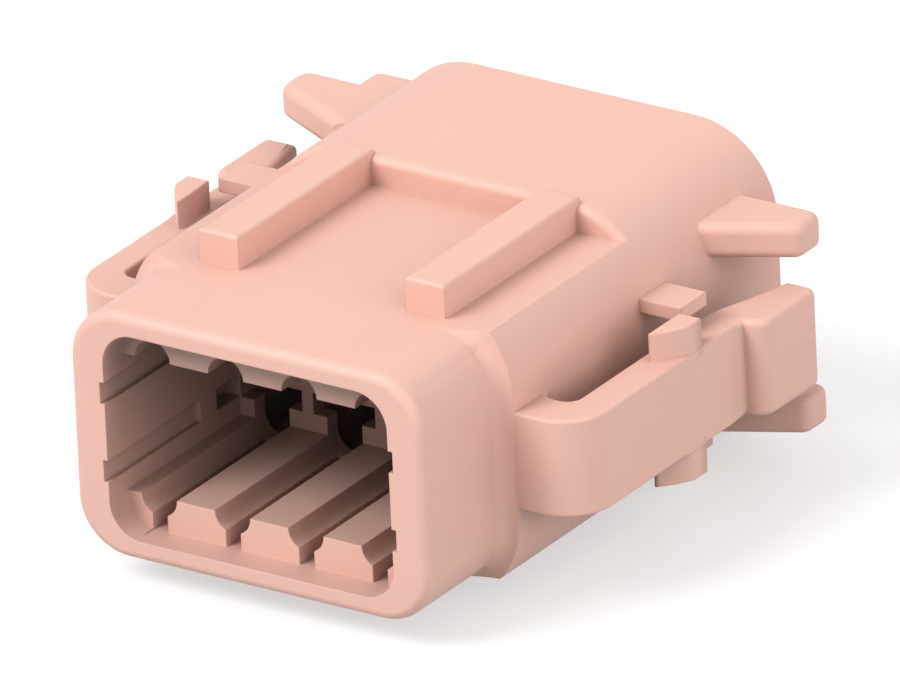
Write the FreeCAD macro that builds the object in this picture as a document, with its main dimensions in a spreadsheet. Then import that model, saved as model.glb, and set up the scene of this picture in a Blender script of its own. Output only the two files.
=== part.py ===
import FreeCAD, Part
import math
import os

import Sketcher

# Sealed 8 way wire-to-wire plug housing: two rows of four contact cavities, an open nose at the
# front, two key bars on top, a sprung latch on each side and a silicone wire seal at the rear.
# X runs across the connector, Y from the mating face to the wire side, Z up. Lengths are in mm.

doc = FreeCAD.newDocument("sealed_plug")
sheet = doc.addObject("Spreadsheet::Sheet", "Sizes")

SIZES = [
    # Contact grid
    ("column_pitch", 4.19, "distance between neighbouring contact columns"),
    ("row_height", 3.58, "height of each contact row above or below the axis"),
    # Nose
    ("nose_half_width", 10.05, "outer half width of the nose"),
    ("nose_half_height", 6.42, "outer half height of the nose, also of the recessed faces"),
    ("nose_corner", 2.8, "outer corner radius of the nose"),
    ("rim_round", 0.5, "rounding of the outer edge of the rim"),
    ("mouth_half_width", 8.1, "half width of the mouth"),
    ("mouth_half_height", 5.35, "half height of the mouth"),
    ("mouth_corner", 1.75, "corner radius of the mouth"),
    # Body
    ("total_length", 29.74, "mating face to rear face"),
    ("body_half_width", 10.86, "outer half width of the body"),
    ("body_half_height", 7.85, "outer half height of the rear body"),
    ("body_corner", 4.5, "corner radius of the body"),
    ("rear_round", 0.15, "rounding of the rear outer edge"),
    ("shoulder", 6.6, "front of the body behind the nose"),
    ("shoulder_round", 0.75, "length of the hollow between nose and shoulder"),
    ("step_place", 18.2, "front face of the full-height rear body"),
    ("step_round", 0.44, "rounding of the top edge of that step"),
    # Key bars
    ("bar_inner", 4.77, "inner side of a key bar"),
    ("bar_outer", 7.0, "outer side of a key bar"),
    ("bar_rise", 0.3, "how far a key bar stands over the rear body"),
    ("bar_front", 6.9, "front face of the key bars"),
    ("bar_back", 18.6, "rear end of the key bars, on top of the rear body"),
    ("bar_round", 0.2, "rounding of the key bars"),
    # Inside of the nose
    ("rib_front", 1.53, "how far the ribs are set back from the rim"),
    ("channel_radius", 1.005, "round bottom of a contact channel"),
    ("slot_width", 0.85, "slot outward of each channel"),
    ("inner_wall", 11.2, "front face of the inner wall"),
    ("window_depth", 0.9, "thickness of the inner wall round its openings"),
    ("chamber_half_width", 1.8, "half width of a terminal chamber behind the inner wall"),
    ("chamber_low", 1.3, "side of a chamber next to the axis"),
    ("chamber_high", 4.95, "side of a chamber away from the axis"),
    ("chamber_length", 5.0, "length of a terminal chamber"),
    ("groove_depth", 0.25, "depth of the guide grooves in the side walls"),
    ("groove_low", 1.48, "edge of a guide groove next to the axis"),
    ("groove_high", 2.6, "edge of a guide groove away from the axis"),
    ("groove_length", 7.85, "length of a guide groove"),
    ("catch_start", 9.24, "front end of the catch pocket in a side wall"),
    ("catch_depth", 0.9, "depth of the catch pocket"),
    ("post_width", 0.63, "post between two cavities"),
    ("foot_height", 0.93, "height of the wide foot of a post"),
    ("web_half", 1.55, "half thickness of the wall between the two rows"),
    ("bore_radius", 1.3, "contact bore behind the inner wall"),
    # Latches: a wide one on the left and a narrow one on the right key the connector
    ("narrow_half", 2.52, "half height of the right latch"),
    ("wide_half", 3.68, "half height of the left latch"),
    ("arm_outer", 14.67, "outer face of a latch arm"),
    ("narrow_wall", 1.95, "thickness of the right latch arm"),
    ("wide_wall", 1.6, "thickness of the left latch arm"),
    ("root_front", 6.7, "front face of the latch root"),
    ("root_thickness", 2.15, "thickness of the latch root"),
    ("root_axis", 11.95, "bending line of the latch root, from the middle"),
    ("root_gap", 0.05, "clearance round the latch root"),
    ("stub_gap", 0.2, "how much lower the stub is than the latch, above and below"),
    ("arm_bend", 2.4, "outer bend of the latch"),
    ("arm_inner_bend", 0.35, "inner bend of the latch"),
    ("lug_height", 1.51, "height of a lug beside the arm"),
    ("lug_width", 1.24, "inner face of a lug to the outer face of the arm"),
    ("lug_front", 14.4, "front of a lug"),
    ("lug_back", 17.1, "rear face of a lug"),
    ("lug_full", 16.05, "where the ramp of a lug reaches the outer face"),
    ("lug_belly", 0.11, "how much the ramp of a lug bulges"),
    ("grip_rise", 1.15, "how far the finger grip stands out of the arm"),
    ("grip_start", 20.6, "front face of the finger grip"),
    ("latch_end", 25.43, "rear end of the latch"),
    ("grip_middle", 22.6, "where the inner face of the grip turns"),
    ("grip_end_depth", 0.62, "inner edge of the grip's rear end to the outer face of the arm"),
    ("grip_round", 0.45, "rounding of the grip"),
    # Guards and ears, placed from the edge of the latch next to them
    ("guard_inset", 1.47, "outer end of a guard block to the outer face of the arm"),
    ("guard_front", 17.57, "front face of a guard block"),
    ("guard_back", 19.8, "rear face of a guard block"),
    ("guard_gap", 0.78, "room between a latch and its guard block"),
    ("guard_thickness", 0.7, "thickness of a guard block"),
    ("ear_gap", 1.15, "room between a latch and its ear"),
    ("ear_thickness", 1.8, "thickness of an ear"),
    ("ear_root", 10.3, "where the front edge of an ear starts, inside the body"),
    ("ear_root_front", 23.2, "front edge of an ear at that place"),
    ("ear_tip_front", 25.5, "front edge of an ear at its tip"),
    ("ear_back", 27.6, "rear edge of an ear"),
    ("ear_tip", 14.9, "tip of an ear"),
    ("ear_corner", 0.75, "corner radius of an ear tip"),
    ("ear_round", 0.5, "rounding of the edges of an upper ear"),
    ("low_ear_round", 0.35, "rounding of the edges of a lower ear"),
    ("gusset_back", 28.8, "rear end of the gusset behind a left ear"),
    ("gusset_outer", 11.4, "outer edge of that gusset"),
    ("gusset_round", 0.4, "rounding of the gusset's rear corner"),
    # Wire seal and the retainer that holds it
    ("pocket_half_width", 9.55, "half width of the seal pocket"),
    ("pocket_half_height", 6.5, "half height of the seal pocket"),
    ("pocket_corner", 3.4, "corner radius of the seal pocket"),
    ("pocket_depth", 7.6, "depth of the seal pocket"),
    ("seal_gap", 0.02, "clearance round the seal beads"),
    ("seal_length", 5.2, "length of the seal"),
    ("bead_height", 0.35, "height of a bead over the seal's waist"),
    ("bead_length", 1.0, "length of a bead"),
    ("wire_hole", 1.25, "radius of a wire hole at its funnel"),
    ("wire_throat", 0.65, "radius of a wire hole inside the seal"),
    ("funnel_depth", 1.2, "depth of a funnel"),
    ("retainer_gap", 0.05, "clearance round the retainer"),
    ("retainer_recess", 0.3, "how far the retainer lies below the rear face"),
    ("retainer_hole", 1.45, "radius of a hole in the retainer"),
    ("nib_height", 0.35, "height of a snap nib on the retainer"),
    ("nib_width", 2.6, "width of a snap nib"),
    ("nib_length", 0.9, "length of a snap nib"),
    ("nib_gap", 0.05, "clearance round a snap nib"),
]

for row, (alias, value, note) in enumerate(SIZES, start=1):
    sheet.set("A%d" % row, note)
    sheet.set("B%d" % row, str(value))
    sheet.setAlias("B%d" % row, alias)
doc.recompute()


class Size:
    """A length that knows its number and how the spreadsheet gets it."""

    def __init__(self, value, text):
        self.value = float(value)
        self.text = text

    @staticmethod
    def of(other):
        return other if isinstance(other, Size) else Size(other, repr(float(other)))

    def __add__(self, other):
        other = Size.of(other)
        return Size(self.value + other.value, "(%s + %s)" % (self.text, other.text))

    def __sub__(self, other):
        other = Size.of(other)
        return Size(self.value - other.value, "(%s - %s)" % (self.text, other.text))

    def __mul__(self, other):
        other = Size.of(other)
        return Size(self.value * other.value, "(%s * %s)" % (self.text, other.text))

    def __truediv__(self, other):
        other = Size.of(other)
        return Size(self.value / other.value, "(%s / %s)" % (self.text, other.text))

    def __neg__(self):
        return Size(-self.value, "(0 - %s)" % self.text)


def size(alias):
    """The named cell of the sheet."""
    return Size(sheet.get(alias), "Sizes.%s" % alias)


def bind(target, path, length):
    """Ties a property of an object to the sheet."""
    target.setExpression(path, length.text)


# Bodies, sketches and features

PLANES = {"across": "XZ_Plane", "plan": "XY_Plane", "side": "YZ_Plane"}


def new_body(label):
    """A body whose origin lies on the floor under the middle of the connector."""
    body = doc.addObject("PartDesign::Body", label)
    body.Label = label
    bind(body, "Placement.Base.y", -(size("total_length") / 2))
    bind(body, "Placement.Base.z", size("body_half_height"))
    return body


def new_sketch(body, name, plane, place):
    """A sketch on one of the body's own planes, moved along that plane's axis to a place."""
    sketch = body.newObject("Sketcher::SketchObject", name)
    role = PLANES[plane]
    origin_plane = [f for f in body.Origin.OriginFeatures if f.Role == role][0]
    sketch.AttachmentSupport = [(origin_plane, "")]
    sketch.MapMode = "FlatFace"
    place = Size.of(place)
    # The cross plane looks towards the mating face, so a place to the rear is negative there.
    shift = -place if plane == "across" else place
    bind(sketch, "AttachmentOffset.Base.z", shift)
    return sketch


def pin(sketch, geometry, corner, point):
    """Fixes one end of a line, or the centre of a circle, at a point of the sheet."""
    for kind, length in zip(("DistanceX", "DistanceY"), point):
        length = Size.of(length)
        k = sketch.addConstraint(Sketcher.Constraint(kind, -1, 1, geometry, corner, length.value))
        bind(sketch, "Constraints[%d]" % k, length)


def draw_polygon(sketch, points):
    """A closed run of straight lines, every corner tied to the sheet."""
    spots = [FreeCAD.Vector(Size.of(u).value, Size.of(v).value, 0) for u, v in points]
    first = sketch.GeometryCount
    count = len(points)
    for k in range(count):
        sketch.addGeometry(Part.LineSegment(spots[k], spots[(k + 1) % count]), False)
    for k in range(count):
        following = first + (k + 1) % count
        sketch.addConstraint(Sketcher.Constraint("Coincident", first + k, 2, following, 1))
        pin(sketch, first + k, 1, points[k])


def draw_box(sketch, left, right, low, high):
    """An upright rectangle."""
    draw_polygon(sketch, [(left, low), (right, low), (right, high), (left, high)])


def draw_circle(sketch, u, v, radius):
    """A circle round a point."""
    u, v, radius = Size.of(u), Size.of(v), Size.of(radius)
    centre = FreeCAD.Vector(u.value, v.value, 0)
    k = sketch.addGeometry(Part.Circle(centre, FreeCAD.Vector(0, 0, 1), radius.value), False)
    pin(sketch, k, 3, (u, v))
    c = sketch.addConstraint(Sketcher.Constraint("Radius", k, radius.value))
    bind(sketch, "Constraints[%d]" % c, radius)


def draw_rounded(sketch, half_width, half_height, corner):
    """A rectangle round the axis with four equal round corners."""
    w, v, r = half_width.value, half_height.value, corner.value
    point = FreeCAD.Vector
    lines = [
        (point(r - w, -v, 0), point(w - r, -v, 0)),
        (point(w, r - v, 0), point(w, v - r, 0)),
        (point(w - r, v, 0), point(r - w, v, 0)),
        (point(-w, v - r, 0), point(-w, r - v, 0)),
    ]
    centres = [(w - r, r - v), (w - r, v - r), (r - w, v - r), (r - w, r - v)]
    for k in range(4):
        sketch.addGeometry(Part.LineSegment(*lines[k]), False)
        circle = Part.Circle(point(centres[k][0], centres[k][1], 0), point(0, 0, 1), r)
        start = (k - 1) * math.pi / 2
        sketch.addGeometry(Part.ArcOfCircle(circle, start, start + math.pi / 2), False)
    for k in range(4):
        line, arc, following = 2 * k, 2 * k + 1, (2 * k + 2) % 8
        sketch.addConstraint(Sketcher.Constraint("Tangent", line, 2, arc, 1))
        sketch.addConstraint(Sketcher.Constraint("Tangent", arc, 2, following, 1))
        sketch.addConstraint(Sketcher.Constraint("Horizontal" if k % 2 == 0 else "Vertical", line))
    for k in range(1, 4):
        sketch.addConstraint(Sketcher.Constraint("Equal", 1, 2 * k + 1))
    measures = [
        ("DistanceY", 0, -half_height),
        ("DistanceX", 2, half_width),
        ("DistanceY", 4, half_height),
        ("DistanceX", 6, -half_width),
    ]
    for kind, geometry, length in measures:
        c = sketch.addConstraint(Sketcher.Constraint(kind, -1, 1, geometry, 1, length.value))
        bind(sketch, "Constraints[%d]" % c, length)
    c = sketch.addConstraint(Sketcher.Constraint("Radius", 1, r))
    bind(sketch, "Constraints[%d]" % c, corner)


def settle(feature):
    """Recomputes and makes sure that the feature gave one sound solid."""
    doc.recompute()
    assert feature.isValid(), feature.Name + " could not be built"
    assert feature.Shape.isValid(), feature.Name + " is not a valid shape"
    return feature


def add_pad(body, name, sketch, length, towards_rear=False):
    """Material grown from a sketch; a cross sketch grows towards the rear on request."""
    pad = body.newObject("PartDesign::Pad", name)
    pad.Profile = sketch
    pad.Reversed = towards_rear
    bind(pad, "Length", Size.of(length))
    return settle(pad)


def add_pocket(body, name, sketch, length, through=False):
    """A cut away from a sketch: to the rear from a cross sketch, down from a plan sketch."""
    pocket = body.newObject("PartDesign::Pocket", name)
    pocket.Profile = sketch
    if through:
        pocket.Midplane = True
    bind(pocket, "Length", Size.of(length))
    return settle(pocket)


def edges_where(shape, test):
    """Names of the edges whose middle point passes the test."""
    names = []
    for k, edge in enumerate(shape.Edges, start=1):
        middle = edge.valueAt((edge.FirstParameter + edge.LastParameter) / 2)
        if test(middle, edge):
            names.append("Edge%d" % k)
    return names


def add_fillet(body, name, radius, test):
    """Rounds the edges of the body's last feature that pass the test."""
    base = body.Tip
    names = edges_where(base.Shape, test)
    assert names, "no edge found for " + name
    fillet = body.newObject("PartDesign::Fillet", name)
    fillet.Base = (base, names)
    bind(fillet, "Radius", radius)
    return settle(fillet)


def near(a, b, reach=0.02):
    """Whether two lengths are the same."""
    return abs(a - b) < reach


def along(edge, direction):
    """Whether an edge is straight and runs along a direction."""
    if edge.Curve.TypeId != "Part::GeomLine":
        return False
    return abs(edge.tangentAt(edge.FirstParameter).dot(direction)) > 0.999


RIGHT = FreeCAD.Vector(1, 0, 0)
REAR = FreeCAD.Vector(0, 1, 0)
UP = FreeCAD.Vector(0, 0, 1)
SIDES = (-1, 1)
COLUMNS = (-1.5, -0.5, 0.5, 1.5)


def column(k):
    """Middle of a contact column."""
    return size("column_pitch") * k


def mirrored(points, side):
    """Points of the right side, or their mirror image on the left."""
    return [(Size.of(u) * side, v) for u, v in points]


def wall_box(sketch, side, inner, outer, low, high):
    """A rectangle between two distances from the middle, on one side."""
    draw_polygon(sketch, mirrored([(inner, low), (outer, low), (outer, high), (inner, high)], side))


LATCH_HALF = {-1: size("wide_half"), 1: size("narrow_half")}
LATCH_WALL = {-1: size("wide_wall"), 1: size("narrow_wall")}

# Housing: outer form

housing = new_body("housing")

sketch = new_sketch(housing, "nose_outline", "across", 0)
draw_rounded(sketch, size("nose_half_width"), size("nose_half_height"), size("nose_corner"))
hollow_start = size("shoulder") - size("shoulder_round")
add_pad(housing, "nose", sketch, size("shoulder"), towards_rear=True)
add_fillet(
    housing, "rim_edge", size("rim_round"),
    lambda p, e: near(p.y, 0),
)

# Between nose and shoulder a hollow arc. Each outline has a share of the way along and of the
# growth from nose to body, as on an arc that leaves the nose smoothly.
HOLLOW = ((0.0, 0.0), (0.4, 0.1), (0.72, 0.36), (1.0, 1.0))
outlines = []
for k, (share_along, share_out) in enumerate(HOLLOW):
    place = hollow_start + size("shoulder_round") * share_along
    sketch = new_sketch(housing, "hollow_outline_%d" % (k + 1), "across", place)
    spread = [
        size("nose_" + part) + (size("body_" + part) - size("nose_" + part)) * share_out
        for part in ("half_width", "half_height", "corner")
    ]
    draw_rounded(sketch, *spread)
    outlines.append(sketch)
doc.recompute()
hollow = housing.newObject("PartDesign::AdditiveLoft", "hollow")
hollow.Profile = outlines[0]
hollow.Sections = outlines[1:]
settle(hollow)

sketch = new_sketch(housing, "body_outline", "across", size("shoulder"))
draw_rounded(sketch, size("body_half_width"), size("body_half_height"), size("body_corner"))
body_length = size("total_length") - size("shoulder")
add_pad(housing, "main_body", sketch, body_length, towards_rear=True)
rear = sheet.get("total_length")
add_fillet(
    housing, "rear_edge", size("rear_round"),
    lambda p, e: near(p.y, rear),
)

# Recessed top and bottom faces, level with the nose
sketch = new_sketch(housing, "recess_outline", "side", 0)
beyond = size("body_half_height") + 2
draw_box(sketch, hollow_start / 2, size("step_place"), size("nose_half_height"), beyond)
draw_box(sketch, hollow_start / 2, size("step_place"), -beyond, -size("nose_half_height"))
add_pocket(housing, "recesses", sketch, size("body_half_width") * 3, through=True)
step = sheet.get("step_place")
ledge = sheet.get("nose_half_height")
add_fillet(
    housing, "step_edge", size("step_round"),
    lambda p, e: near(p.y, step) and abs(p.z) > ledge + 0.1,
)

# Key bars on top, a little higher than the rear body
bar_level = size("body_half_height") + size("bar_rise")
sketch = new_sketch(housing, "bar_outline", "across", size("bar_front"))
for side in SIDES:
    wall_box(
        sketch, side, size("bar_inner"), size("bar_outer"),
        size("nose_half_height") - 1, bar_level,
    )
add_pad(housing, "key_bars", sketch, size("bar_back") - size("bar_front"), towards_rear=True)
bar_top = bar_level.value
add_fillet(
    housing, "bar_edges", size("bar_round"),
    lambda p, e: near(p.z, bar_top),
)

# Root stubs: a short stub on each side, later hollowed where the latch root sits
for side in SIDES:
    half = LATCH_HALF[side] - size("stub_gap")
    name = "left" if side < 0 else "right"
    sketch = new_sketch(housing, name + "_stub_outline", "plan", -half)
    wall_box(
        sketch, side, size("body_half_width") - 1.5, size("root_axis"),
        size("root_front"), size("root_front") + size("root_thickness"),
    )
    add_pad(housing, name + "_stub", sketch, half * 2)

# Guard blocks above and below each latch, just behind its lugs
for side in SIDES:
    half = LATCH_HALF[side]
    for level in SIDES:
        name = ("left" if side < 0 else "right") + ("_lower" if level < 0 else "_upper")
        low = half + size("guard_gap")
        if level < 0:
            low = -low - size("guard_thickness")
        sketch = new_sketch(housing, name + "_guard_outline", "plan", low)
        wall_box(
            sketch, side, size("body_half_width") - 1.5, size("arm_outer") - size("guard_inset"),
            size("guard_front"), size("guard_back"),
        )
        add_pad(housing, name + "_guard", sketch, size("guard_thickness"))

# Ears: swept plates above and below the grips, so that nothing can catch behind a latch
ear_levels = {-1: [], 1: []}
for side in SIDES:
    half = LATCH_HALF[side]
    for level in SIDES:
        name = ("left" if side < 0 else "right") + ("_lower" if level < 0 else "_upper")
        low = half + size("ear_gap")
        if level < 0:
            low = -low - size("ear_thickness")
        ear_levels[side] += [low.value, low.value + sheet.get("ear_thickness")]
        sketch = new_sketch(housing, name + "_ear_outline", "plan", low)
        inside = size("body_half_width") - size("body_corner") * 0.6
        outline = [
            (inside, size("ear_root_front")),
            (size("ear_root"), size("ear_root_front")),
            (size("ear_tip"), size("ear_tip_front")),
            (size("ear_tip"), size("ear_back")),
            (inside, size("ear_back")),
        ]
        if side < 0:
            outline[4:] = [
                (size("gusset_outer"), size("ear_back")),
                (size("gusset_outer"), size("gusset_back")),
                (inside, size("gusset_back")),
            ]
        draw_polygon(sketch, mirrored(outline, side))
        add_pad(housing, name + "_ear", sketch, size("ear_thickness"))
tip = sheet.get("ear_tip")
add_fillet(
    housing, "ear_tips", size("ear_corner"),
    lambda p, e: near(abs(p.x), tip) and along(e, UP),
)
gusset = sheet.get("gusset_outer")
gusset_end = sheet.get("gusset_back")
add_fillet(
    housing, "gusset_corners", size("gusset_round"),
    lambda p, e: near(abs(p.x), gusset) and near(p.y, gusset_end) and along(e, UP),
)
flank = sheet.get("body_half_width")
ear_start = sheet.get("ear_root_front")


def on_ear(p, level):
    """The front edge and the tip of an ear, on its two faces."""
    levels = ear_levels[1 if p.x > 0 else -1]
    ahead = abs(p.x) > flank + 0.6 and ear_start < p.y < ear_back - 0.1
    return ahead and p.z * level > 0 and any(near(p.z, z) for z in levels)


ear_back = sheet.get("ear_back")
add_fillet(housing, "upper_ear_edges", size("ear_round"), lambda p, e: on_ear(p, 1))
add_fillet(housing, "lower_ear_edges", size("low_ear_round"), lambda p, e: on_ear(p, -1))

# Seats for the latch roots
for side in SIDES:
    half = LATCH_HALF[side] - size("stub_gap")
    name = "left" if side < 0 else "right"
    sketch = new_sketch(housing, name + "_seat_outline", "plan", half + 0.01)
    middle = size("root_front") + size("root_thickness") / 2
    draw_circle(sketch, size("root_axis") * side, middle, size("root_thickness") / 2 + size("root_gap"))
    add_pocket(housing, name + "_seat", sketch, half * 2 + 0.02)

# Housing: inside of the nose

sketch = new_sketch(housing, "mouth_outline", "across", 0)
draw_rounded(sketch, size("mouth_half_width"), size("mouth_half_height"), size("mouth_corner"))
add_pocket(housing, "mouth", sketch, size("rib_front"))

sketch = new_sketch(housing, "core_outline", "across", 0)
draw_box(
    sketch, -size("mouth_half_width"), size("mouth_half_width"),
    -size("row_height"), size("row_height"),
)
add_pocket(housing, "core", sketch, size("inner_wall"))

sketch = new_sketch(housing, "channel_outline", "across", size("rib_front") / 2)
for k in COLUMNS:
    for level in SIDES:
        draw_circle(sketch, column(k), size("row_height") * level, size("channel_radius"))
channel_length = size("inner_wall") + size("window_depth") - size("rib_front") / 2
add_pocket(housing, "channels", sketch, channel_length)

sketch = new_sketch(housing, "slot_outline", "across", size("rib_front") / 2)
half_slot = size("slot_width") / 2
for k in COLUMNS:
    for level in SIDES:
        near_edge, far_edge = size("row_height") * level, size("mouth_half_height") * level
        draw_box(sketch, column(k) - half_slot, column(k) + half_slot, near_edge, far_edge)
add_pocket(housing, "slots", sketch, size("inner_wall") - size("rib_front") / 2)

sketch = new_sketch(housing, "groove_outline", "across", 0)
for side in SIDES:
    for level in SIDES:
        wall_box(
            sketch, side, size("mouth_half_width") - 0.5, size("mouth_half_width") + size("groove_depth"),
            size("groove_low") * level, size("groove_high") * level,
        )
add_pocket(housing, "guide_grooves", sketch, size("groove_length"))

sketch = new_sketch(housing, "catch_outline", "across", size("catch_start"))
for side in SIDES:
    for level in SIDES:
        wall_box(
            sketch, side, size("mouth_half_width") - 0.5, size("mouth_half_width") + size("catch_depth"),
            size("groove_low") * level, size("groove_high") * level,
        )
add_pocket(housing, "catch_pockets", sketch, size("inner_wall") - size("catch_start"))

# Openings of the inner wall: wide between the posts, narrow between their feet
sketch = new_sketch(housing, "window_outline", "across", size("inner_wall") - 0.5)
half_window = (size("column_pitch") - size("post_width")) / 2
half_foot = size("channel_radius")
foot_level = size("row_height") - size("foot_height")
for k in COLUMNS:
    middle = column(k)
    for level in SIDES:
        draw_polygon(sketch, [
            (middle - half_window, size("web_half") * level),
            (middle + half_window, size("web_half") * level),
            (middle + half_window, foot_level * level),
            (middle + half_foot, foot_level * level),
            (middle + half_foot, size("row_height") * level),
            (middle - half_foot, size("row_height") * level),
            (middle - half_foot, foot_level * level),
            (middle - half_window, foot_level * level),
        ])
add_pocket(housing, "windows", sketch, size("window_depth") + 0.5)

# Terminal chambers: wider than the openings, so a terminal stops against the inner wall
chamber_start = size("inner_wall") + size("window_depth")
sketch = new_sketch(housing, "chamber_outline", "across", chamber_start)
half_chamber = size("chamber_half_width")
for k in COLUMNS:
    for level in SIDES:
        near_edge, far_edge = size("chamber_low") * level, size("chamber_high") * level
        draw_box(sketch, column(k) - half_chamber, column(k) + half_chamber, near_edge, far_edge)
add_pocket(housing, "chambers", sketch, size("chamber_length"))

# Contact bores and the seal pocket behind them
pocket_floor = size("total_length") - size("pocket_depth")
bore_start = chamber_start + size("chamber_length") - 0.5
sketch = new_sketch(housing, "bore_outline", "across", bore_start)
for k in COLUMNS:
    for level in SIDES:
        draw_circle(sketch, column(k), size("row_height") * level, size("bore_radius"))
add_pocket(housing, "contact_bores", sketch, pocket_floor - bore_start + 0.5)

sketch = new_sketch(housing, "pocket_outline", "across", pocket_floor)
draw_rounded(sketch, size("pocket_half_width"), size("pocket_half_height"), size("pocket_corner"))
add_pocket(housing, "seal_pocket", sketch, size("pocket_depth") + 1)

# Recesses in the pocket wall for the snap nibs of the retainer
retainer_back = size("total_length") - size("retainer_recess")
retainer_front = pocket_floor + size("seal_length")
retainer_length = retainer_back - retainer_front
nib_place = retainer_front + (retainer_length - size("nib_length")) / 2
sketch = new_sketch(housing, "nib_recess_outline", "across", nib_place - size("nib_gap"))
nib_half = size("nib_width") / 2 + size("nib_gap")
nib_reach = size("pocket_half_height") + size("nib_height") + size("nib_gap")
for k in (-1, 1):
    for level in SIDES:
        draw_box(
            sketch, column(k) - nib_half, column(k) + nib_half,
            (size("pocket_half_height") - 0.5) * level, nib_reach * level,
        )
add_pocket(housing, "nib_recesses", sketch, size("nib_length") + size("nib_gap") * 2)

# Latches: one sprung arm on each side


def build_latch(label, side):
    """Root, bend, arm and finger grip, with a lug above and a lug below."""
    latch = new_body(label)
    half = LATCH_HALF[side]
    arm_inner = size("arm_outer") - LATCH_WALL[side]
    grip_outer = size("arm_outer") + size("grip_rise")
    grip_end_inner = size("arm_outer") - size("grip_end_depth")
    lug_inner = size("arm_outer") - size("lug_width")
    root_back = size("root_front") + size("root_thickness")
    # The inner face of the grip splays out, more at its start than at its end
    turn_inner = arm_inner + (grip_end_inner - arm_inner) * 0.45
    sketch = new_sketch(latch, label + "_outline", "plan", -half)
    draw_polygon(sketch, mirrored([
        (size("root_axis"), size("root_front")),
        (size("arm_outer"), size("root_front")),
        (size("arm_outer"), size("grip_start")),
        (grip_outer, size("grip_start")),
        (grip_outer, size("latch_end")),
        (grip_end_inner, size("latch_end")),
        (turn_inner, size("grip_middle")),
        (arm_inner, size("grip_start")),
        (arm_inner, root_back),
        (size("root_axis"), root_back),
    ], side))
    add_pad(latch, label + "_arm", sketch, half * 2)
    outer, inner = sheet.get("arm_outer"), arm_inner.value
    front_y, back_y = sheet.get("root_front"), root_back.value
    add_fillet(
        latch, label + "_bend", size("arm_bend"),
        lambda p, e: near(abs(p.x), outer) and near(p.y, front_y) and along(e, UP),
    )
    add_fillet(
        latch, label + "_inner_bend", size("arm_inner_bend"),
        lambda p, e: near(abs(p.x), inner) and near(p.y, back_y) and along(e, UP),
    )
    end_y, grip_x = sheet.get("latch_end"), grip_outer.value
    add_fillet(
        latch, label + "_grip_edges", size("grip_round"),
        lambda p, e: near(abs(p.x), grip_x) or (near(p.y, end_y) and along(e, RIGHT)),
    )
    # Root: a round end that sits in the housing's seat
    sketch = new_sketch(latch, label + "_root_outline", "plan", -half)
    draw_circle(
        sketch, size("root_axis") * side, size("root_front") + size("root_thickness") / 2,
        size("root_thickness") / 2,
    )
    add_pad(latch, label + "_root", sketch, half * 2)
    # Lugs: wedges whose bulging ramp runs out into the outer face of the arm
    ramp_x = (lug_inner + size("arm_outer")) / 2 + size("lug_belly") * 0.8
    ramp_y = (size("lug_front") + size("lug_full")) / 2 - size("lug_belly") * 0.6
    for level, name in ((1, "upper"), (-1, "lower")):
        low = half - 0.5 if level > 0 else -half - size("lug_height")
        sketch = new_sketch(latch, "%s_%s_lug_outline" % (label, name), "plan", low)
        draw_polygon(sketch, mirrored([
            (lug_inner, size("lug_front")),
            (ramp_x, ramp_y),
            (size("arm_outer"), size("lug_full")),
            (size("arm_outer"), size("lug_back")),
            (lug_inner, size("lug_back")),
        ], side))
        add_pad(latch, "%s_%s_lug" % (label, name), sketch, size("lug_height") + 0.5)
    return latch


latch_left = build_latch("latch_left", -1)
latch_right = build_latch("latch_right", 1)

# Wire seal: a silicone block with two beads round it and a funnelled hole for each wire

seal = new_body("wire_seal")
waist = size("seal_gap") + size("bead_height")
sketch = new_sketch(seal, "seal_outline", "across", pocket_floor)
draw_rounded(
    sketch, size("pocket_half_width") - waist, size("pocket_half_height") - waist,
    size("pocket_corner") - waist,
)
add_pad(seal, "seal_block", sketch, size("seal_length"), towards_rear=True)
for k in range(2):
    place = pocket_floor + size("seal_length") * (1.0 + 2.0 * k) / 4 - size("bead_length") / 2
    sketch = new_sketch(seal, "bead_outline_%d" % (k + 1), "across", place)
    draw_rounded(
        sketch, size("pocket_half_width") - size("seal_gap"),
        size("pocket_half_height") - size("seal_gap"), size("pocket_corner") - size("seal_gap"),
    )
    add_pad(seal, "bead_%d" % (k + 1), sketch, size("bead_length"), towards_rear=True)
sketch = new_sketch(seal, "throat_outline", "across", pocket_floor - 0.5)
for k in COLUMNS:
    for level in SIDES:
        draw_circle(sketch, column(k), size("row_height") * level, size("wire_throat"))
add_pocket(seal, "throats", sketch, size("seal_length") + 1)
sketch = new_sketch(seal, "funnel_outline", "across", retainer_front - size("funnel_depth"))
for k in COLUMNS:
    for level in SIDES:
        draw_circle(sketch, column(k), size("row_height") * level, size("wire_hole"))
add_pocket(seal, "funnels", sketch, size("funnel_depth") + 1)

# Seal retainer: a plate with the same holes, held by four snap nibs

retainer = new_body("seal_retainer")
sketch = new_sketch(retainer, "retainer_outline", "across", retainer_front)
draw_rounded(
    sketch, size("pocket_half_width") - size("retainer_gap"),
    size("pocket_half_height") - size("retainer_gap"), size("pocket_corner") - size("retainer_gap"),
)
add_pad(retainer, "retainer_plate", sketch, retainer_length, towards_rear=True)
sketch = new_sketch(retainer, "nib_outline", "across", nib_place)
for k in (-1, 1):
    for level in SIDES:
        draw_box(
            sketch, column(k) - size("nib_width") / 2, column(k) + size("nib_width") / 2,
            (size("pocket_half_height") - 0.6) * level,
            (size("pocket_half_height") + size("nib_height")) * level,
        )
add_pad(retainer, "nibs", sketch, size("nib_length"), towards_rear=True)
sketch = new_sketch(retainer, "retainer_hole_outline", "across", retainer_front - 0.5)
for k in COLUMNS:
    for level in SIDES:
        draw_circle(sketch, column(k), size("row_height") * level, size("retainer_hole"))
add_pocket(retainer, "retainer_holes", sketch, retainer_length + 1)
retainer_end = retainer_back.value
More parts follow.
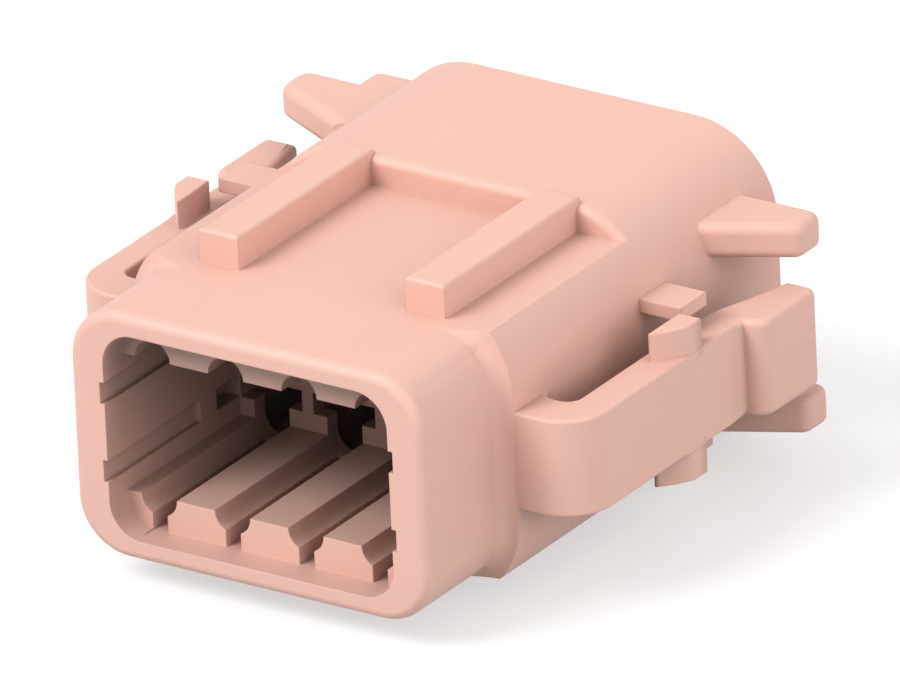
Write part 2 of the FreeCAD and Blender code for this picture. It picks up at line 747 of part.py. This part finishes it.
add_fillet(
    retainer, "retainer_edges", size("retainer_gap") * 6,
    lambda p, e: near(p.y, retainer_end),
)

doc.recompute()

# Checks and files

for thing in doc.Objects:
    state = [word for word in thing.State if word in ("Invalid", "Error")]
    assert not state, "%s failed: %s" % (thing.Name, thing.State)

os.makedirs("parts", exist_ok=True)
for body in (housing, latch_left, latch_right, seal, retainer):
    shape = body.Shape
    assert not shape.isNull() and shape.isValid(), body.Label + " is not a valid solid"
    assert len(shape.Solids) == 1, body.Label + " is not one solid"
    shape.exportStep("parts/%s.step" % body.Label)
    box = shape.BoundBox
    print("%-14s volume %8.1f  x %.2f..%.2f  y %.2f..%.2f  z %.2f..%.2f" % (
        body.Label, shape.Volume, box.XMin, box.XMax, box.YMin, box.YMax, box.ZMin, box.ZMax))
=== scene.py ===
"""Looks of the sealed plug housing: moulded plastic, sprung latches, wire seal and studio."""

import logging
import math
from dataclasses import dataclass, field
from enum import Enum

import bpy
import numpy as np
from mathutils import Matrix, Vector


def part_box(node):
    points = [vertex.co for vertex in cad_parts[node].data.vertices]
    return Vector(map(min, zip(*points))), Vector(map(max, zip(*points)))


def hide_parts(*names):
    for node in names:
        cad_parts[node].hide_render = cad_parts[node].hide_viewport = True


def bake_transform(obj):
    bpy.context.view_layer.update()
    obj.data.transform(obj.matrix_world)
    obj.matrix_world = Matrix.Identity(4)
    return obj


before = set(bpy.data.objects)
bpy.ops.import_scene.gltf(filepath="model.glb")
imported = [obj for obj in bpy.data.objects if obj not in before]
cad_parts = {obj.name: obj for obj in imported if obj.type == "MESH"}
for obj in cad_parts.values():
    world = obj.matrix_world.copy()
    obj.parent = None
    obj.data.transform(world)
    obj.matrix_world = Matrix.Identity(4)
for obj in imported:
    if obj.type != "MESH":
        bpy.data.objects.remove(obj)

LOG = logging.getLogger("plug")
MM = 0.001
WHITE = (1.0, 1.0, 1.0, 1.0)
# A row this far beyond each rounding keeps the shading of the walls flat
SUPPORT = 0.04 * MM
# Least cosine of half a turn that counts, so that no mitre grows too long
LEAST_COSINE = 0.45
# Places closer than this count as the same, in mm
NEAR = 0.01


class Side(Enum):
    """The two long sides of the connector; the value is the sign of X."""

    LEFT = -1
    RIGHT = 1


class Socket(Enum):
    """The kinds of socket that a node group of this scene has."""

    COLOR = "NodeSocketColor"
    FLOAT = "NodeSocketFloat"
    VECTOR = "NodeSocketVector"


# Shader groups

Feed = bpy.types.NodeSocket | float | tuple[float, ...]
Inputs = dict[str | int, Feed]


@dataclass(frozen=True)
class Wiring:
    """Short ways to put nodes into a tree and to fill their inputs."""

    tree: bpy.types.NodeTree

    def fill(self, node: bpy.types.Node, inputs: Inputs) -> bpy.types.Node:
        """Fills inputs of a node.

        Args:
            node: the node.
            inputs: by name or number, a socket that is linked to it or a value that is set on it.

        Returns:
            The same node.
        """
        for name, value in inputs.items():
            if isinstance(value, bpy.types.NodeSocket):
                self.tree.links.new(value, node.inputs[name])
            else:
                node.inputs[name].default_value = value
        return node

    def node(self, kind: str, inputs: Inputs | None = None) -> bpy.types.Node:
        """Adds a node.

        Args:
            kind: its type.
            inputs: what fills its inputs.

        Returns:
            The new node.
        """
        return self.fill(self.tree.nodes.new(kind), inputs or {})

    def group(self, tree: bpy.types.NodeTree, inputs: Inputs) -> bpy.types.Node:
        """Adds a node that shows a node group.

        Args:
            tree: the group.
            inputs: what fills its inputs.

        Returns:
            The new node.
        """
        node = self.tree.nodes.new("ShaderNodeGroup")
        node.node_tree = tree
        return self.fill(node, inputs)

    def calculate(
        self, operation: str, *values: Feed, clamp: bool = False
    ) -> bpy.types.NodeSocket:
        """Adds a Math node.

        Args:
            operation: what it does.
            values: what fills its inputs, in their order.
            clamp: whether its result is kept between 0 and 1.

        Returns:
            Its result.
        """
        node = self.tree.nodes.new("ShaderNodeMath")
        node.operation = operation
        node.use_clamp = clamp
        return self.fill(node, dict(enumerate(values))).outputs[0]

    def vector(self, operation: str, inputs: Inputs) -> bpy.types.Node:
        """Adds a Vector Math node.

        Args:
            operation: what it does.
            inputs: what fills its inputs.

        Returns:
            The new node.
        """
        node = self.tree.nodes.new("ShaderNodeVectorMath")
        node.operation = operation
        return self.fill(node, inputs)


def open_group(
    name: str, inputs: dict[str, float | tuple[float, ...]], outputs: dict[str, Socket]
) -> Wiring:
    """Makes an empty node group.

    Args:
        name: its name.
        inputs: its inputs with their first values; a tuple makes a colour.
        outputs: its outputs and their kinds.

    Returns:
        The wiring of the new group.
    """
    tree = bpy.data.node_groups.new(name, "ShaderNodeTree")
    for label, value in inputs.items():
        kind = Socket.COLOR if isinstance(value, tuple) else Socket.FLOAT
        socket = tree.interface.new_socket(label, in_out="INPUT", socket_type=kind.value)
        socket.default_value = value
    for label, kind in outputs.items():
        tree.interface.new_socket(label, in_out="OUTPUT", socket_type=kind.value)
    return Wiring(tree)


@dataclass(frozen=True)
class MouldingGrain:
    """Fine spark-eroded grain and faint flow clouds of a moulded surface."""

    name: str = "moulding_grain"
    grain_detail: float = 3.0
    cloud_detail: float = 2.0
    grain_roughness: float = 0.1

    def build(self) -> bpy.types.NodeTree:
        """Builds the group once.

        Returns:
            A node group that turns a colour and grain sizes into a colour, a roughness and a
            height.
        """
        if self.name in bpy.data.node_groups:
            return bpy.data.node_groups[self.name]
        wiring = open_group(
            self.name,
            {
                "Tone": (0.8, 0.8, 0.8, 1.0),
                "Roughness": 0.5,
                "Grain scale": 9000.0,
                "Cloud scale": 140.0,
                "Cloud": 0.04,
            },
            {"Tone": Socket.COLOR, "Roughness": Socket.FLOAT, "Height": Socket.FLOAT},
        )
        given = wiring.node("NodeGroupInput").outputs
        place = wiring.node("ShaderNodeTexCoord").outputs["Object"]
        grain, cloud = (
            wiring.node(
                "ShaderNodeTexNoise", {"Vector": place, "Scale": given[scale], "Detail": detail}
            ).outputs["Fac"]
            for scale, detail in (
                ("Grain scale", self.grain_detail),
                ("Cloud scale", self.cloud_detail),
            )
        )
        # Tone times 1 + cloud * (2 * noise - 1)
        centred = wiring.calculate("MULTIPLY_ADD", cloud, 2.0, -1.0)
        factor = wiring.calculate("MULTIPLY_ADD", centred, given["Cloud"], 1.0)
        tone = wiring.vector("SCALE", {0: given["Tone"], "Scale": factor})
        # Roughness plus a share of the grain
        rough = wiring.calculate("MULTIPLY_ADD", grain, self.grain_roughness, given["Roughness"])
        wiring.node(
            "NodeGroupOutput", {"Tone": tone.outputs[0], "Roughness": rough, "Height": grain}
        )
        return wiring.tree


@dataclass(frozen=True)
class MouthShade:
    """Tells the inside of the nose from the outside, so that the painted shade can be darker
    there.
    """

    name: str = "mouth_shade"

    def build(self) -> bpy.types.NodeTree:
        """Builds the group once.

        Returns:
            A node group for the painted shade: a normal lifted towards the sky, the share of the
                sky that a
            free plane of that slope would see round the lifted normal, and the power to which
            the open share is raised, one power outside the nose and another inside.
        """
        if self.name in bpy.data.node_groups:
            return bpy.data.node_groups[self.name]
        wiring = open_group(
            self.name,
            {
                "Rim": 0.0,
                "Axis": 0.0,
                "Half width": 0.01,
                "Half height": 0.01,
                "Ramp": 0.001,
                "Lift": 1.0,
                "Outer power": 0.5,
                "Inner power": 0.5,
                "Rise": 0.0,
                "Rise start": 0.0,
            },
            {"Normal": Socket.VECTOR, "Free": Socket.FLOAT, "Power": Socket.FLOAT},
        )
        calculate = wiring.calculate
        given = wiring.node("NodeGroupInput").outputs
        place = wiring.node("ShaderNodeTexCoord").outputs["Object"]
        parts = wiring.node("ShaderNodeSeparateXYZ", {0: place}).outputs
        # Inside = (|x| < half width) * (|z - axis| < half height) * clamp((y - rim) / ramp)
        across = calculate("LESS_THAN", calculate("ABSOLUTE", parts["X"]), given["Half width"])
        height = calculate("SUBTRACT", parts["Z"], given["Axis"])
        within = calculate("LESS_THAN", calculate("ABSOLUTE", height), given["Half height"])
        depth = calculate("SUBTRACT", parts["Y"], given["Rim"])
        behind = calculate("DIVIDE", depth, given["Ramp"], clamp=True)
        inside = calculate("MULTIPLY", calculate("MULTIPLY", across, within), behind)
        # Faces that look down fade out of it: facing = min(1, 1 + normal z)
        normal = wiring.node("ShaderNodeNewGeometry").outputs["Normal"]
        slope = wiring.node("ShaderNodeSeparateXYZ", {0: normal}).outputs["Z"]
        facing = calculate("MINIMUM", calculate("ADD", slope, 1.0), 1.0)
        # Painted shade: inside the nose the power grows with height, so higher places there are
        # darker
        # Level = max(0, (z - axis) / half height - rise start), outer = outer power * facing
        # Power = outer + inside * (inner power + rise * level - outer)
        outer = calculate("MULTIPLY", given["Outer power"], facing)
        level = calculate("DIVIDE", height, given["Half height"])
        level = calculate("MAXIMUM", calculate("SUBTRACT", level, given["Rise start"]), 0.0)
        inner = calculate("MULTIPLY_ADD", level, given["Rise"], given["Inner power"])
        power = calculate("MULTIPLY_ADD", inside, calculate("SUBTRACT", inner, outer), outer)
        # Lifting the normal lets things above cast more painted shade
        # Lifted = unit(normal + lift * facing * up), free = (1 + cosine to the normal) / 2
        lift = calculate("MULTIPLY", given["Lift"], facing)
        upwards = wiring.node("ShaderNodeCombineXYZ", {"Z": lift}).outputs[0]
        lifted = wiring.vector("ADD", {0: normal, 1: upwards}).outputs[0]
        unit = wiring.vector("NORMALIZE", {0: lifted}).outputs[0]
        cosine = wiring.vector("DOT_PRODUCT", {0: normal, 1: unit}).outputs["Value"]
        free = calculate("MULTIPLY_ADD", cosine, 0.5, 0.5)
        wiring.node("NodeGroupOutput", {"Normal": unit, "Free": free, "Power": power})
        return wiring.tree


# Finishes


@dataclass(frozen=True)
class MouldedFinish:
    """A moulded plastic or rubber: a tone, its gloss, grain, softly rounded edges and painted
    shade.
    """

    name: str
    tone: tuple[float, float, float]
    roughness: float = 0.42
    specular: float = 0.4
    edge: float = 0.1 * MM
    edge_samples: int = 6
    grain: float = 9000.0
    grain_height: float = 0.004 * MM
    grain_strength: float = 0.25
    cloud: float = 0.035
    # Painted shade: closed-in places are darkened towards this dark tone, by occlusion within the
    # reach below
    painted_shade_tone: tuple[float, float, float] = (0.28, 0.2, 0.17)
    painted_shade_reach: float = 20.0 * MM
    painted_shade_samples: int = 8
    rim_place: float = -14.87 * MM
    axis_height: float = 7.85 * MM
    inside_half_width: float = 9.3 * MM
    inside_half_height: float = 5.9 * MM
    inside_ramp: float = 1.2 * MM
    lift: float = 1.2
    outer_power: float = 0.5
    inner_power: float = 0.44
    inner_rise: float = 0.75
    rise_start: float = -0.6

    def make(self) -> bpy.types.Material:
        """Builds the material.

        Returns:
            The material, the same one if it was made before.
        """
        if self.name in bpy.data.materials:
            return bpy.data.materials[self.name]
        material = bpy.data.materials.new(self.name)
        material.use_nodes = True
        wiring = Wiring(material.node_tree)
        grain = wiring.group(MouldingGrain().build(), {
            "Tone": (*self.tone, 1.0),
            "Roughness": self.roughness,
            "Grain scale": self.grain,
            "Cloud": self.cloud,
        }).outputs
        mouth = wiring.group(MouthShade().build(), {
            "Rim": self.rim_place,
            "Axis": self.axis_height,
            "Half width": self.inside_half_width,
            "Half height": self.inside_half_height,
            "Ramp": self.inside_ramp,
            "Lift": self.lift,
            "Outer power": self.outer_power,
            "Inner power": self.inner_power,
            "Rise": self.inner_rise,
            "Rise start": self.rise_start,
        }).outputs
        # Painted shade: closed-in places darken, dark tone to tone by (open share / free share) **
        # power
        open_sky = wiring.node(
            "ShaderNodeAmbientOcclusion",
            {"Distance": self.painted_shade_reach, "Normal": mouth["Normal"]},
        )
        open_sky.samples = self.painted_shade_samples
        relative = wiring.calculate("DIVIDE", open_sky.outputs["AO"], mouth["Free"], clamp=True)
        share = wiring.calculate("POWER", relative, mouth["Power"])
        shade = wiring.node("ShaderNodeMix")
        shade.data_type = "RGBA"
        wiring.fill(shade, {"A": (*self.painted_shade_tone, 1.0), "B": grain["Tone"], "Factor": share})
        soft = wiring.node("ShaderNodeBevel", {"Radius": self.edge})
        soft.samples = self.edge_samples
        bump = wiring.node("ShaderNodeBump", {
            "Strength": self.grain_strength,
            "Distance": self.grain_height,
            "Height": grain["Height"],
            "Normal": soft.outputs["Normal"],
        })
        wiring.fill(material.node_tree.nodes["Principled BSDF"], {
            "Base Color": shade.outputs["Result"],
            "Roughness": grain["Roughness"],
            "Specular IOR Level": self.specular,
            "Normal": bump.outputs["Normal"],
        })
        return material


SALMON = MouldedFinish("salmon_moulding", (0.82, 0.49, 0.405))
RETAINER = MouldedFinish("salmon_retainer", (0.79, 0.465, 0.38), roughness=0.48)
SILICONE = MouldedFinish(
    "silicone_seal", (0.36, 0.075, 0.045), roughness=0.55, edge=0.08 * MM, cloud=0.06, specular=0.3
)


# Surfaces


@dataclass
class Surface:
    """Points and faces of a piece; shells are added one after another."""

    points: list[np.ndarray] = field(default_factory=list)
    faces: list[list[int]] = field(default_factory=list)
    flat: list[bool] = field(default_factory=list)
    count: int = 0

    def add(self, points: np.ndarray, faces: list[list[int]], flat: list[bool]) -> None:
        """Adds a shell.

        Args:
            points: its points, one row each.
            faces: its faces, as numbers of its own points.
            flat: for each face, whether it is shaded flat.
        """
        self.faces += [[k + self.count for k in face] for face in faces]
        self.flat += flat
        self.points.append(points)
        self.count += len(points)

    def make(self, name: str, finish: MouldedFinish) -> bpy.types.Object:
        """Puts the shells into an object.

        Args:
            name: the object's name.
            finish: its finish.

        Returns:
            The new object, at the origin.
        """
        mesh = bpy.data.meshes.new(name)
        mesh.from_pydata(np.concatenate(self.points).tolist(), [], self.faces)
        mesh.polygons.foreach_set("use_smooth", [not flat for flat in self.flat])
        mesh.materials.append(finish.make())
        mesh.update()
        piece = bpy.data.objects.new(name, mesh)
        bpy.context.scene.collection.objects.link(piece)
        return piece


def line(start: tuple[float, float], end: tuple[float, float], count: int) -> np.ndarray:
    """Points of a straight line, its last point left out."""
    share = np.linspace(0.0, 1.0, count, endpoint=False)[:, None]
    return np.array(start) * (1 - share) + np.array(end) * share


def arc(
    centre: tuple[float, float], radius: float, first: float, last: float, count: int = 10
) -> np.ndarray:
    """Points of an arc: centre + radius * (cosine, sine) of angles from first to last.

    Args:
        centre: its centre.
        radius: its radius.
        first: the angle of its first point, in degrees.
        last: the angle of its last point, in degrees.
        count: how many points.

    Returns:
        The points, both ends included.
    """
    angle = np.radians(np.linspace(first, last, count))
    return np.array(centre) + radius * np.stack([np.cos(angle), np.sin(angle)], axis=1)


def inset(outline: np.ndarray, distance: np.ndarray) -> np.ndarray:
    """An outline moved inwards: every corner goes along its mitre by distance / cos(half turn).

    Args:
        outline: a closed outline, anticlockwise.
        distance: how far inwards, for each corner.

    Returns:
        The moved outline.
    """
    before = outline - np.roll(outline, 1, axis=0)
    after = np.roll(outline, -1, axis=0) - outline
    normals = []
    for run in (before, after):
        run = run / np.linalg.norm(run, axis=1, keepdims=True)
        normals.append(np.stack([-run[:, 1], run[:, 0]], axis=1))
    mitre = normals[0] + normals[1]
    mitre /= np.maximum((mitre * normals[0]).sum(axis=1, keepdims=True), LEAST_COSINE)
    return outline + mitre * distance[:, None]


def rounded_prism(
    outline: np.ndarray, low: float, high: float, edge: float | np.ndarray, steps: int = 4
) -> tuple[np.ndarray, list[list[int]], list[bool]]:
    """An outline carried upwards, with its lower and upper edges rounded.

    The outline at angle a of the lower rounding is inset by edge * (1 - sin a) and lies at
    low + edge * (1 - cos a); a support row follows, and the upper rounding mirrors it all.

    Args:
        outline: a closed outline in X and Y, anticlockwise.
        low: its lower end.
        high: its upper end.
        edge: the radius of the rounding, one for all corners or one for each.
        steps: how many rows a rounding has.

    Returns:
        Points, faces and, for each face, whether it is flat.
    """
    angle = np.linspace(0.0, math.pi / 2, steps + 1)[:, None]
    edge = np.broadcast_to(edge, len(outline))[None, :]
    insets = np.concatenate([edge * (1 - np.sin(angle)), edge * 0.0])
    rises = np.concatenate([edge * (1 - np.cos(angle)), edge + SUPPORT])
    insets = np.concatenate([insets, insets[::-1]])
    levels = np.concatenate([low + rises, high - rises[::-1]])
    rows = [np.column_stack([inset(outline, dist), level]) for dist, level in zip(insets, levels)]
    n, m = len(outline), len(rows)
    faces = [
        [r * n + k, r * n + (k + 1) % n, (r + 1) * n + (k + 1) % n, (r + 1) * n + k]
        for r in range(m - 1)
        for k in range(n)
    ]
    flat = [False] * len(faces)
    faces += [list(range(n - 1, -1, -1)), list(range((m - 1) * n, m * n))]
    return np.concatenate(rows), faces, flat + [True, True]


# Pieces


@dataclass
class Latch:
    """A sprung latch: the leg out of the body, the arm, its lugs and the finger grip, in mm.

    Lengths along Y count from the rim of the nose, heights from the axis.
    """

    side: Side
    half_height: float
    body_face: float = 10.86
    buried: float = 0.4
    leg_front: float = 6.597
    leg_back: float = 8.85
    cover: float = 0.012
    arm_outer: float = 14.67
    wall: float = 1.95
    bend: float = 2.4
    inner_bend: float = 0.7
    root_round: float = 0.8
    grip_outer: float = 15.82
    grip_start: float = 20.6
    grip_back: float = 25.43
    grip_round: float = 0.5
    grip_front_round: float = 0.95
    grip_end_inner: float = 14.05
    # Shares of the way back along the grip and of its splay, rear end first
    splay: tuple[tuple[float, float], ...] = (
        (1.0, 1.0),
        (0.95, 0.96),
        (0.68, 0.72),
        (0.42, 0.45),
        (0.18, 0.14),
        (0.02, 0.0),
    )
    lug_inner: float = 13.43
    lug_front: float = 14.4
    lug_back: float = 17.1
    lug_full: float = 16.05
    lug_belly: float = 0.11
    lug_height: float = 1.51
    edge: float = 0.16
    lug_edge: float = 0.08
    grip_edge: float = 0.36
    # The edges grow rounder over this length before the grip
    grip_lead: float = 1.0
    # Gaps left between the last point of a straight face and the form beside it
    bend_gap: float = 0.4
    inner_bend_gap: float = 0.3
    lug_gap: float = 0.1
    grip_gap: float = 0.6
    root_gap: float = 0.05

    @property
    def arm_inner(self) -> float:
        """Inner face of the arm."""
        return self.arm_outer - self.wall

    def outline(self) -> np.ndarray:
        """The latch seen from above, on the right side, anticlockwise.

        Returns:
            Straight runs joined by arcs, with a hollow arc where the leg leaves the body.
        """
        root = self.body_face - self.buried
        front, back = self.leg_front - self.cover, self.leg_back + self.cover
        bend_centre = (self.arm_outer - self.bend, front + self.bend)
        corner = self.grip_outer - self.grip_round
        crest = (self.grip_outer - self.grip_front_round, self.grip_start + self.grip_front_round)
        along, across = np.array(self.splay).T
        inner = np.stack([
            self.arm_inner + (self.grip_end_inner - self.arm_inner) * across,
            self.grip_start + (self.grip_back - self.grip_start) * along,
        ], axis=1)
        inner_centre = (self.arm_inner - self.inner_bend, back + self.inner_bend)
        inner_end = inner_centre[1] + self.inner_bend_gap
        root_centre = (self.body_face + self.root_round, back + self.root_round)

        def run(across: float, start: float, end: float, count: int) -> np.ndarray:
            """Points of a straight face of the arm, its last point left out."""
            return line((across, start), (across, end), count)

        return np.concatenate([
            line((root, front), (self.body_face, front), 3),
            line((self.body_face, front), (bend_centre[0], front), 6),
            arc(bend_centre, self.bend, -90, 0, 16),
            run(self.arm_outer, bend_centre[1] + self.bend_gap, self.lug_full - self.lug_gap, 8),
            run(self.arm_outer, self.lug_full, self.lug_back, 2),
            run(self.arm_outer, self.lug_back, self.lug_back + self.lug_gap, 1),
            run(self.arm_outer, self.lug_back + self.lug_gap, self.grip_start, 5),
            line((self.arm_outer, self.grip_start), (crest[0], self.grip_start), 2),
            arc(crest, self.grip_front_round, -90, 0, 10),
            arc((corner, self.grip_back - self.grip_round), self.grip_round, 0, 90, 8),
            inner,
            run(self.arm_inner, self.grip_start - self.grip_gap, inner_end, 8),
            arc(inner_centre, self.inner_bend, 0, -90, 7),
            arc(root_centre, self.root_round, 270, 180, 8),
            np.array([(root, back + self.root_round + self.root_gap)]),
        ])

    def lug_outline(self) -> np.ndarray:
        """A lug seen from above: its ramp bulges a little and runs out into the arm's outer face.

        The ramp is the straight line from tip to outer face plus belly * 4 * t * (1 - t) outwards.

        Returns:
            The outline on the right side, anticlockwise.
        """
        outer = self.arm_outer - self.cover / 2
        tip = np.array((self.lug_inner, self.lug_front))
        run = np.array((outer, self.lug_full)) - tip
        share = np.linspace(0.0, 1.0, 9)[:, None]
        outwards = np.array((run[1], -run[0])) / np.linalg.norm(run)
        ramp = tip + run * share + outwards * self.lug_belly * 4 * share * (1 - share)
        return np.concatenate([
            ramp,
            np.array([(outer, self.lug_back), (self.lug_inner, self.lug_back)]),
        ])

    def placed(self, outline: np.ndarray, rim: float) -> np.ndarray:
        """An outline on this latch's side and in metres.

        Args:
            outline: an outline of the right side, in mm.
            rim: where the rim lies along Y, in metres.

        Returns:
            The outline, anticlockwise again after mirroring.
        """
        moved = outline * MM + np.array([0.0, rim])
        if self.side is Side.LEFT:
            moved = (moved * np.array([-1.0, 1.0]))[::-1]
        return moved

    def build(self, rim: float, axis: float) -> bpy.types.Object:
        """Builds the latch and roots it in the housing.

        Args:
            rim: where the rim of the nose lies along Y, in metres.
            axis: height of the connector's axis, in metres.

        Returns:
            The finished piece.
        """
        node = f"latch_{self.side.name.lower()}"
        half, edge = self.half_height * MM, self.edge * MM
        surface = Surface()
        arm = self.placed(self.outline(), rim)
        # The grip's edges are rounder: edge grows to grip edge over the lead before the grip
        along = (arm[:, 1] - rim) / MM
        share = np.clip((along - self.grip_start) / self.grip_lead + 1.0, 0.0, 1.0)
        edges = edge + (self.grip_edge * MM - edge) * share
        # Beside the lugs the outer face runs on into them, so its edge stays sharp
        beside = (along > self.lug_full - NEAR) & (along < self.lug_back + NEAR)
        edges[beside & (abs(arm[:, 0]) > (self.arm_outer - NEAR) * MM)] = 0.0
        surface.add(*rounded_prism(arm, axis - half, axis + half, edges))
        lug = self.placed(self.lug_outline(), rim)
        buried, height = self.buried * MM, self.lug_height * MM
        for low in (axis + half - buried, axis - half - height):
            surface.add(*rounded_prism(lug, low, low + buried + height, self.lug_edge * MM))
        piece = surface.make(f"{node}_moulding", SALMON)
        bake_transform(piece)
        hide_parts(node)
        LOG.info("%s: %d points", piece.name, surface.count)
        return piece


@dataclass
class Connector:
    """The moulded housing with its latches, seal and retainer."""

    wide_half: float = 3.68
    narrow_half: float = 2.52
    wide_wall: float = 1.6
    narrow_wall: float = 1.95
    body_half_height: float = 7.85

    def dress(self) -> None:
        """Gives each node of the frame its finish."""
        finishes = {
            "housing": SALMON,
            "latch_left": SALMON,
            "latch_right": SALMON,
            "seal_retainer": RETAINER,
            "wire_seal": SILICONE,
        }
        for name, finish in finishes.items():
            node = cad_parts[name]
            node.data.materials.clear()
            node.data.materials.append(finish.make())
            LOG.info("%s: %s", name, finish.name)

    def build(self) -> None:
        """Builds the latches and dresses everything."""
        self.dress()
        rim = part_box("housing")[0].y
        axis = self.body_half_height * MM
        Latch(Side.LEFT, self.wide_half, wall=self.wide_wall).build(rim, axis)
        Latch(Side.RIGHT, self.narrow_half, wall=self.narrow_wall).build(rim, axis)


# Studio


@dataclass
class Studio:
    """Pale floor, even light and a long lens at the photograph's angle."""

    floor_half: float = 1.5
    floor_tone: float = 0.5
    floor_glow: float = 0.55
    sky: float = 0.62
    key_power: float = 2.12
    key_angle: float = 30.0
    key_from: tuple[float, float, float] = (-0.38, -0.65, 0.79)
    fill_power: float = 0.95
    fill_angle: float = 60.0
    fill_from: tuple[float, float, float] = (1.0, -0.15, 0.35)
    # The camera stands as the fit to rim, mouth, ribs and step puts it, almost without perspective
    camera_aim: tuple[float, float, float] = (0.006856, 0.007368, 0.004736)
    camera_distance: float = 1.5
    camera_right: tuple[float, float, float] = (0.832822, 0.551885, -0.042781)
    camera_down: tuple[float, float, float] = (0.197503, -0.368462, -0.908421)
    pixels_per_metre: float = 21129.975
    image_width: int = 900
    sensor: float = 36.0
    clip: tuple[float, float] = (0.1, 10.0)

    def floor(self) -> None:
        """A large pale floor: it glows a little for the camera so that it reads white."""
        s = self.floor_half
        mesh = bpy.data.meshes.new("floor")
        mesh.from_pydata([(-s, -s, 0), (s, -s, 0), (s, s, 0), (-s, s, 0)], [], [[0, 1, 2, 3]])
        floor = bpy.data.objects.new("floor", mesh)
        bpy.context.scene.collection.objects.link(floor)
        material = bpy.data.materials.new("floor_white")
        material.use_nodes = True
        material.node_tree.nodes.clear()
        wiring = Wiring(material.node_tree)
        matt = wiring.node("ShaderNodeBsdfDiffuse", {"Color": (self.floor_tone,) * 3 + (1.0,)})
        ray = wiring.node("ShaderNodeLightPath").outputs
        seen = wiring.calculate("MAXIMUM", ray["Is Camera Ray"], ray["Is Glossy Ray"])
        strength = wiring.calculate("MULTIPLY", seen, self.floor_glow)
        glow = wiring.node("ShaderNodeEmission", {"Strength": strength})
        both = wiring.node("ShaderNodeAddShader", {0: matt.outputs[0], 1: glow.outputs[0]})
        wiring.node("ShaderNodeOutputMaterial", {"Surface": both.outputs[0]})
        mesh.materials.append(material)

    def world(self) -> None:
        """Even white surroundings: full white for the camera, softer for the light."""
        world = bpy.data.worlds.new("studio")
        world.use_nodes = True
        bpy.context.scene.world = world
        wiring = Wiring(world.node_tree)
        strength = wiring.node("ShaderNodeMapRange", {
            "Value": wiring.node("ShaderNodeLightPath").outputs["Is Camera Ray"],
            "To Min": self.sky,
            "To Max": 1.0,
        }).outputs[0]
        background = world.node_tree.nodes["Background"]
        wiring.fill(background, {"Color": WHITE, "Strength": strength})

    def sun(
        self, name: str, power: float, start: tuple[float, float, float], angle: float
    ) -> None:
        """A soft light from far away.

        Args:
            name: its name.
            power: its strength.
            start: the direction it comes from.
            angle: how wide it looks, in degrees.
        """
        light = bpy.data.lights.new(name, "SUN")
        light.energy = power
        light.angle = math.radians(angle)
        lamp = bpy.data.objects.new(name, light)
        lamp.rotation_mode = "QUATERNION"
        lamp.rotation_quaternion = Vector(start).to_track_quat("Z", "Y")
        bpy.context.scene.collection.objects.link(lamp)

    def camera(self, rim: float, axis: float) -> None:
        """A long lens, far away, at the photograph's angle.

        Args:
            rim: where the rim of the nose lies along Y, in metres.
            axis: height of the connector's axis, in metres.
        """
        data = bpy.data.cameras.new("camera")
        data.sensor_width = self.sensor
        data.lens = self.pixels_per_metre * self.camera_distance * self.sensor / self.image_width
        data.clip_start, data.clip_end = self.clip
        camera = bpy.data.objects.new("camera", data)
        right, up = Vector(self.camera_right), -Vector(self.camera_down)
        back = right.cross(up)
        turn = Matrix((right, up, back)).transposed().to_4x4()
        place = Vector(self.camera_aim) + back * self.camera_distance + Vector((0.0, rim, axis))
        camera.matrix_world = Matrix.Translation(place) @ turn
        bpy.context.scene.collection.objects.link(camera)
        bpy.context.scene.camera = camera

    def build(self, rim: float, axis: float) -> None:
        """Sets up floor, world, lights and camera.

        Args:
            rim: where the rim of the nose lies along Y, in metres.
            axis: height of the connector's axis, in metres.
        """
        self.floor()
        self.world()
        self.sun("key", self.key_power, self.key_from, self.key_angle)
        self.sun("fill", self.fill_power, self.fill_from, self.fill_angle)
        self.camera(rim, axis)
        bpy.context.scene.view_settings.view_transform = "Standard"


def main() -> None:
    """Builds the connector and the studio."""
    logging.basicConfig(level=logging.INFO, format="%(message)s")
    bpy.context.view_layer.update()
    connector = Connector()
    connector.build()
    Studio().build(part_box("housing")[0].y, connector.body_half_height * MM)


if __name__ == "__main__":
    main()
